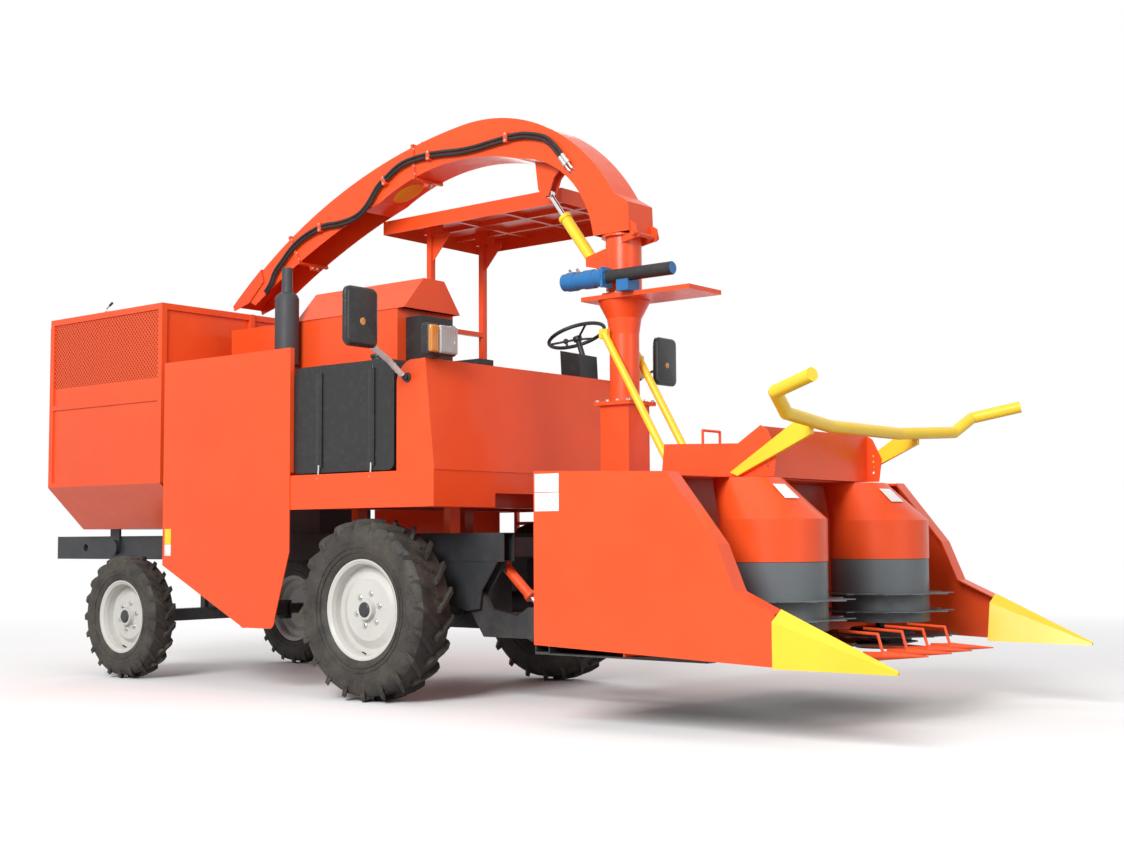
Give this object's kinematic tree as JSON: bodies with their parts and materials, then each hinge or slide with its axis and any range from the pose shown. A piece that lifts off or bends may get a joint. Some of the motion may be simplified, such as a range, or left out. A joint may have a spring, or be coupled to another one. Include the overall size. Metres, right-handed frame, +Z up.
{
  "type": "self-propelled forage maize harvester",
  "caption": "Self-propelled forage maize harvester with a drum header, an arched slewing spout, an open driver's station and a load bin.",
  "frame": {"origin": "on the ground under the middle of the machine's length, on its centre line", "axes": "+X forward, +Y to the machine's left, +Z up; the front axle is 0.130 m ahead of the origin"},
  "size_m": [7.879, 3.38, 3.8599],
  "materials": {
    "black_plastic": "satin",
    "blade_black": "satin",
    "body_red": "gloss enamel",
    "chassis_grey": "satin enamel",
    "drum_grey": "satin enamel",
    "engine_grey": "cast",
    "exhaust_steel": "matt",
    "lamp_lens": "clear",
    "motor_blue": "gloss enamel",
    "rim_silver": "satin silver",
    "rod_chrome": "polished",
    "safety_yellow": "gloss enamel",
    "seat_vinyl": "grained",
    "tyre_rubber": "matt"
  },
  "bodies": {
    "chassis": {"chassis_frame": "chassis_grey", "front_axle_housing": "chassis_grey", "rear_axle_beam": "chassis_grey", "platform": "body_red", "access_ladder": "body_red", "front_panel": "body_red", "driver_seat": "seat_vinyl", "steering_console": "black_plastic", "canopy_posts": "body_red", "canopy_roof": "body_red", "headlamps": "lamp_lens", "mirrors": "black_plastic", "engine_block": "engine_grey", "side_panels": "body_red", "engine_hood": "body_red", "fuel_tank": "black_plastic", "exhaust_pipe": "exhaust_steel", "air_cleaner": "black_plastic", "load_bin": "body_red"},
    "front_right_wheel": {"front_right_tyre": "tyre_rubber", "front_right_rim": "rim_silver"},
    "front_left_wheel": {"front_left_tyre": "tyre_rubber", "front_left_rim": "rim_silver"},
    "rear_right_wheel": {"rear_right_tyre": "tyre_rubber", "rear_right_rim": "rim_silver"},
    "rear_left_wheel": {"rear_left_tyre": "tyre_rubber", "rear_left_rim": "rim_silver"},
    "knuckle_right": {"knuckle_right": "chassis_grey"},
    "knuckle_left": {"knuckle_left": "chassis_grey"},
    "tie_rod": {"tie_rod": "chassis_grey"},
    "steering_wheel": {"steering_wheel": "black_plastic"},
    "tailgate": {"tailgate": "body_red"},
    "header": {"header_side_plates": "body_red", "divider_cones": "safety_yellow", "header_frame": "chassis_grey", "header_back_wall": "body_red", "drum_covers": "body_red", "crop_fingers": "body_red", "pusher_bar": "safety_yellow", "pusher_brackets": "body_red", "chopper_housing": "body_red", "roller_cover": "body_red", "discharge_column": "body_red", "column_braces": "safety_yellow", "slew_drive": "motor_blue"},
    "gathering_drum_right": {"gathering_drum_right": "drum_grey"},
    "gathering_drum_left": {"gathering_drum_left": "drum_grey"},
    "cutter_disc_right": {"cutter_disc_right": "blade_black"},
    "cutter_disc_left": {"cutter_disc_left": "blade_black"},
    "lift_barrels": {"lift_barrels": "body_red"},
    "lift_rods": {"lift_rods": "rod_chrome"},
    "turret": {"spout_turret": "body_red"},
    "spout": {"spout_arch": "body_red"},
    "tilt_barrel": {"tilt_barrel": "safety_yellow"},
    "tilt_rod": {"tilt_rod": "rod_chrome"}
  },
  "joints": [
    {"name": "front_right_wheel_spin", "type": "hinge", "parent": "chassis", "child": "front_right_wheel", "pos_m": [0.13, -0.89, 0.575], "axis": [0, 1, 0], "continuous": true},
    {"name": "rear_right_wheel_spin", "type": "hinge", "parent": "knuckle_right", "child": "rear_right_wheel", "pos_m": [-2.564, -0.838, 0.455], "axis": [0, 1, 0], "continuous": true},
    {"name": "front_left_wheel_spin", "type": "hinge", "parent": "chassis", "child": "front_left_wheel", "pos_m": [0.13, 0.89, 0.575], "axis": [0, 1, 0], "continuous": true},
    {"name": "rear_left_wheel_spin", "type": "hinge", "parent": "knuckle_left", "child": "rear_left_wheel", "pos_m": [-2.564, 0.838, 0.455], "axis": [0, 1, 0], "continuous": true},
    {"name": "rear_right_steer", "type": "hinge", "parent": "chassis", "child": "knuckle_right", "pos_m": [-2.564, -0.64, 0.455], "axis": [0, 0, 1], "range_deg": [-32, 32]},
    {"name": "rear_left_steer", "type": "hinge", "parent": "chassis", "child": "knuckle_left", "pos_m": [-2.564, 0.64, 0.455], "axis": [0, 0, 1], "range_deg": [-32, 32]},
    {"name": "tie_rod_swing", "type": "hinge", "parent": "knuckle_right", "child": "tie_rod", "pos_m": [-2.774, -0.64, 0.4], "axis": [0, 0, 1], "range_deg": [-32, 32]},
    {"name": "steering_wheel_turn", "type": "hinge", "parent": "chassis", "child": "steering_wheel", "pos_m": [0.56, 0.64, 2.44], "axis": [-0.342, 0, 0.9397], "continuous": true},
    {"name": "tailgate_swing", "type": "hinge", "parent": "chassis", "child": "tailgate", "pos_m": [-3.396, 0, 2.7], "axis": [0, 1, 0], "range_deg": [0, 75]},
    {"name": "header_lift", "type": "hinge", "parent": "chassis", "child": "header", "pos_m": [0.69, 0, 0.64], "axis": [0, 1, 0], "range_deg": [0, 6]},
    {"name": "lift_barrel_pivot", "type": "hinge", "parent": "chassis", "child": "lift_barrels", "pos_m": [0.83, 0, 0.845], "axis": [0, 1, 0], "range_deg": [0, 5.45]},
    {"name": "lift_rod_slide", "type": "slide", "parent": "lift_barrels", "child": "lift_rods", "axis": [0.7468, 0, -0.6651], "range_m": [0, 0.02561]},
    {"name": "gathering_drum_right_spin", "type": "hinge", "parent": "header", "child": "gathering_drum_right", "pos_m": [2.9, -0.6, 0.7], "axis": [0, 0, 1], "continuous": true},
    {"name": "cutter_disc_right_spin", "type": "hinge", "parent": "header", "child": "cutter_disc_right", "pos_m": [2.9, -0.6, 0.443], "axis": [0, 0, 1], "continuous": true},
    {"name": "gathering_drum_left_spin", "type": "hinge", "parent": "header", "child": "gathering_drum_left", "pos_m": [2.9, 0.6, 0.7], "axis": [0, 0, 1], "continuous": true},
    {"name": "cutter_disc_left_spin", "type": "hinge", "parent": "header", "child": "cutter_disc_left", "pos_m": [2.9, 0.6, 0.443], "axis": [0, 0, 1], "continuous": true},
    {"name": "spout_slew", "type": "hinge", "parent": "header", "child": "turret", "pos_m": [1.46, 0, 2.6], "axis": [0, 0, 1], "range_deg": [0, 110]},
    {"name": "spout_tilt", "type": "hinge", "parent": "turret", "child": "spout", "pos_m": [1.63, 0, 2.915], "axis": [0, 1, 0], "range_deg": [0, 22]},
    {"name": "tilt_barrel_pivot", "type": "hinge", "parent": "turret", "child": "tilt_barrel", "pos_m": [1.225, 0, 2.79], "axis": [0, 1, 0], "range_deg": [0, 24.13]},
    {"name": "tilt_rod_slide", "type": "slide", "parent": "tilt_barrel", "child": "tilt_rod", "axis": [-0.5924, 0, 0.8057], "range_m": [0, 0.15934]}
  ],
  "couplings": [
    {"joint": "rear_left_steer", "follows": "rear_right_steer", "ratio": 1},
    {"joint": "tie_rod_swing", "follows": "rear_right_steer", "ratio": -1},
    {"joint": "lift_barrel_pivot", "follows": "header_lift", "ratio": 0.9057},
    {"joint": "lift_rod_slide", "follows": "header_lift", "m_per_rad": 0.24444},
    {"joint": "tilt_barrel_pivot", "follows": "spout_tilt", "ratio": 1.0961},
    {"joint": "tilt_rod_slide", "follows": "spout_tilt", "m_per_rad": 0.41494}
  ]
}
